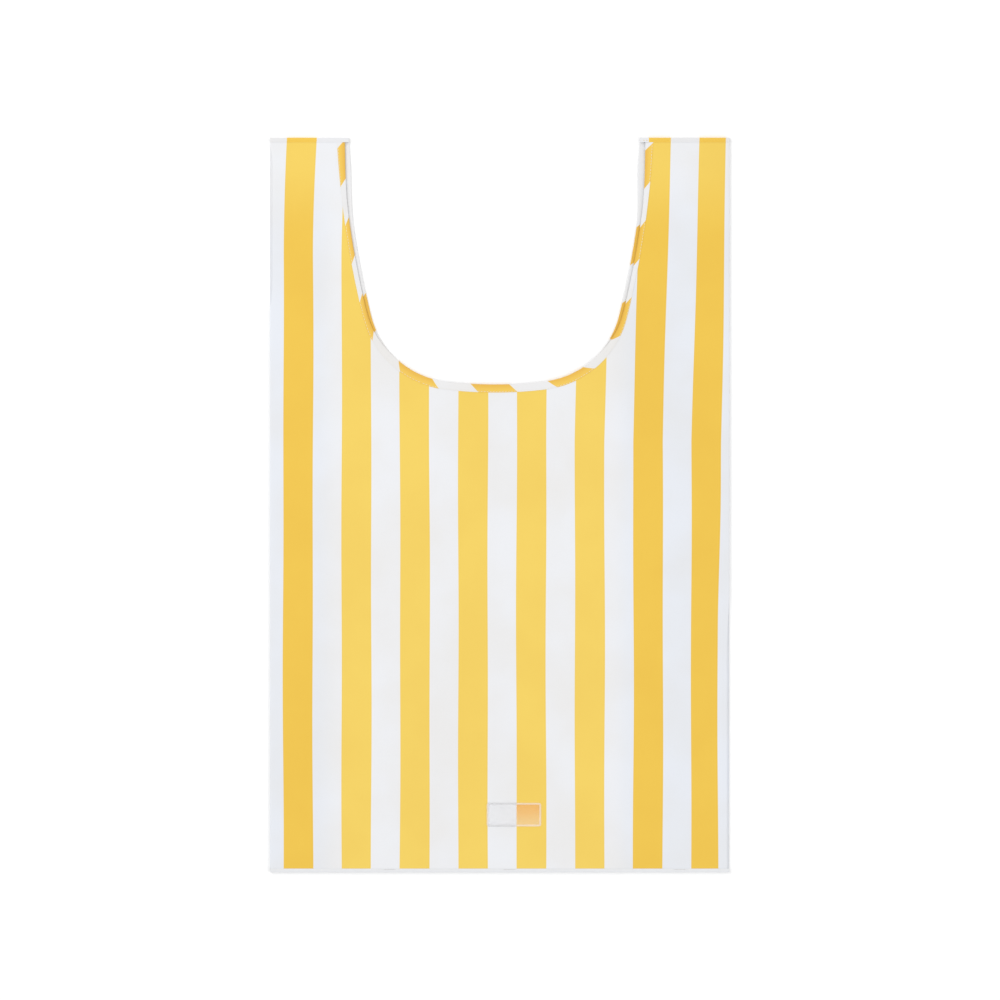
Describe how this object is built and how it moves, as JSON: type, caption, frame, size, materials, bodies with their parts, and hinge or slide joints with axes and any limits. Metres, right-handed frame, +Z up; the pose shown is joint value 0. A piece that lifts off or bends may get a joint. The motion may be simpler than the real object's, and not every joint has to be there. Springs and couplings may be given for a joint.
{
  "type": "foldable tote bag",
  "caption": "Vest-shaped folding shopping tote in striped woven cloth, laid flat: gusseted sides, scooped neck with bias tape, two looped handles and a rubber badge.",
  "frame": {"origin": "under the middle of the bag, laid flat with its front up", "axes": "+X to the right, +Y towards the handles, +Z up through the front"},
  "size_m": [0.4, 0.64, 0.0031],
  "materials": {
    "striped_cloth": "satin",
    "bias_tape": "satin",
    "seam_cloth": "satin",
    "clear_rubber": "satin"
  },
  "bodies": {
    "back_centre": {"back_panel_centre": "striped_cloth", "back_neck_binding_centre": "bias_tape", "bottom_seam_centre": "seam_cloth"},
    "back_left": {"back_panel_left": "striped_cloth", "back_neck_binding_left": "bias_tape", "back_armhole_binding_left": "bias_tape", "bottom_seam_left": "seam_cloth", "side_seam_left": "seam_cloth"},
    "back_left_shoulder": {"back_shoulder_left": "striped_cloth", "back_neck_binding_left_shoulder": "bias_tape", "back_armhole_binding_left_shoulder": "bias_tape"},
    "back_left_strap": {"back_strap_left": "striped_cloth", "back_neck_binding_left_strap": "bias_tape", "back_armhole_binding_left_strap": "bias_tape", "handle_seam_left": "seam_cloth"},
    "back_right": {"back_panel_right": "striped_cloth", "back_neck_binding_right": "bias_tape", "back_armhole_binding_right": "bias_tape", "bottom_seam_right": "seam_cloth", "side_seam_right": "seam_cloth"},
    "back_right_shoulder": {"back_shoulder_right": "striped_cloth", "back_neck_binding_right_shoulder": "bias_tape", "back_armhole_binding_right_shoulder": "bias_tape"},
    "back_right_strap": {"back_strap_right": "striped_cloth", "back_neck_binding_right_strap": "bias_tape", "back_armhole_binding_right_strap": "bias_tape", "handle_seam_right": "seam_cloth"},
    "front_centre": {"front_panel_centre": "striped_cloth", "front_neck_binding_centre": "bias_tape", "badge": "clear_rubber"},
    "front_left": {"front_panel_left": "striped_cloth", "front_neck_binding_left": "bias_tape", "front_armhole_binding_left": "bias_tape"},
    "front_left_shoulder": {"front_shoulder_left": "striped_cloth", "front_neck_binding_left_shoulder": "bias_tape", "front_armhole_binding_left_shoulder": "bias_tape"},
    "front_left_strap": {"front_strap_left": "striped_cloth", "front_neck_binding_left_strap": "bias_tape", "front_armhole_binding_left_strap": "bias_tape"},
    "front_right": {"front_panel_right": "striped_cloth", "front_neck_binding_right": "bias_tape", "front_armhole_binding_right": "bias_tape"},
    "front_right_shoulder": {"front_shoulder_right": "striped_cloth", "front_neck_binding_right_shoulder": "bias_tape", "front_armhole_binding_right_shoulder": "bias_tape"},
    "front_right_strap": {"front_strap_right": "striped_cloth", "front_neck_binding_right_strap": "bias_tape", "front_armhole_binding_right_strap": "bias_tape"}
  },
  "joints": [
    {"name": "mouth_open", "type": "hinge", "parent": "back_centre", "child": "front_centre", "pos_m": [0, -0.3165, 0.00135], "axis": [1, 0, 0], "range_deg": [0, 14]},
    {"name": "left_side_fold", "type": "hinge", "parent": "back_centre", "child": "back_left", "pos_m": [-0.0667, 0, 0.0045], "axis": [0, -1, 0], "range_deg": [-179.9, 0]},
    {"name": "left_handle_fold", "type": "hinge", "parent": "back_left", "child": "back_left_shoulder", "pos_m": [-0.15, 0.134, 0.00285], "axis": [-1, 0, 0], "range_deg": [-179.9, 0]},
    {"name": "left_front_opens", "type": "hinge", "parent": "back_left", "child": "front_left", "pos_m": [0, -0.3165, 0.00135], "axis": [1, 0, 0], "range_deg": [0, 14]},
    {"name": "left_shoulder_opens", "type": "hinge", "parent": "back_left_shoulder", "child": "front_left_shoulder", "pos_m": [0, -0.3165, 0.00135], "axis": [1, 0, 0], "range_deg": [0, 14]},
    {"name": "left_back_strap_tilts", "type": "hinge", "parent": "back_left_shoulder", "child": "back_left_strap", "pos_m": [-0.15, 0.15, 0.00135], "axis": [1, 0, 0], "range_deg": [0, 26.05]},
    {"name": "left_front_strap_tilts", "type": "hinge", "parent": "front_left_shoulder", "child": "front_left_strap", "pos_m": [-0.15, 0.15, 0.00135], "axis": [1, 0, 0], "range_deg": [-26.05, 0]},
    {"name": "right_side_fold", "type": "hinge", "parent": "back_centre", "child": "back_right", "pos_m": [0.0667, 0, 0.0078], "axis": [0, 1, 0], "range_deg": [-179.9, 0]},
    {"name": "right_handle_fold", "type": "hinge", "parent": "back_right", "child": "back_right_shoulder", "pos_m": [0.15, 0.134, 0.00285], "axis": [-1, 0, 0], "range_deg": [-179.9, 0]},
    {"name": "right_front_opens", "type": "hinge", "parent": "back_right", "child": "front_right", "pos_m": [0, -0.3165, 0.00135], "axis": [1, 0, 0], "range_deg": [0, 14]},
    {"name": "right_shoulder_opens", "type": "hinge", "parent": "back_right_shoulder", "child": "front_right_shoulder", "pos_m": [0, -0.3165, 0.00135], "axis": [1, 0, 0], "range_deg": [0, 14]},
    {"name": "right_back_strap_tilts", "type": "hinge", "parent": "back_right_shoulder", "child": "back_right_strap", "pos_m": [0.15, 0.15, 0.00135], "axis": [1, 0, 0], "range_deg": [0, 26.05]},
    {"name": "right_front_strap_tilts", "type": "hinge", "parent": "front_right_shoulder", "child": "front_right_strap", "pos_m": [0.15, 0.15, 0.00135], "axis": [1, 0, 0], "range_deg": [-26.05, 0]}
  ],
  "couplings": [
    {"joint": "left_front_opens", "follows": "mouth_open", "ratio": 1},
    {"joint": "left_shoulder_opens", "follows": "mouth_open", "ratio": 1},
    {"joint": "left_back_strap_tilts", "follows": "mouth_open", "ratio": 1.86},
    {"joint": "left_front_strap_tilts", "follows": "mouth_open", "ratio": -1.86},
    {"joint": "right_front_opens", "follows": "mouth_open", "ratio": 1},
    {"joint": "right_shoulder_opens", "follows": "mouth_open", "ratio": 1},
    {"joint": "right_back_strap_tilts", "follows": "mouth_open", "ratio": 1.86},
    {"joint": "right_front_strap_tilts", "follows": "mouth_open", "ratio": -1.86}
  ]
}
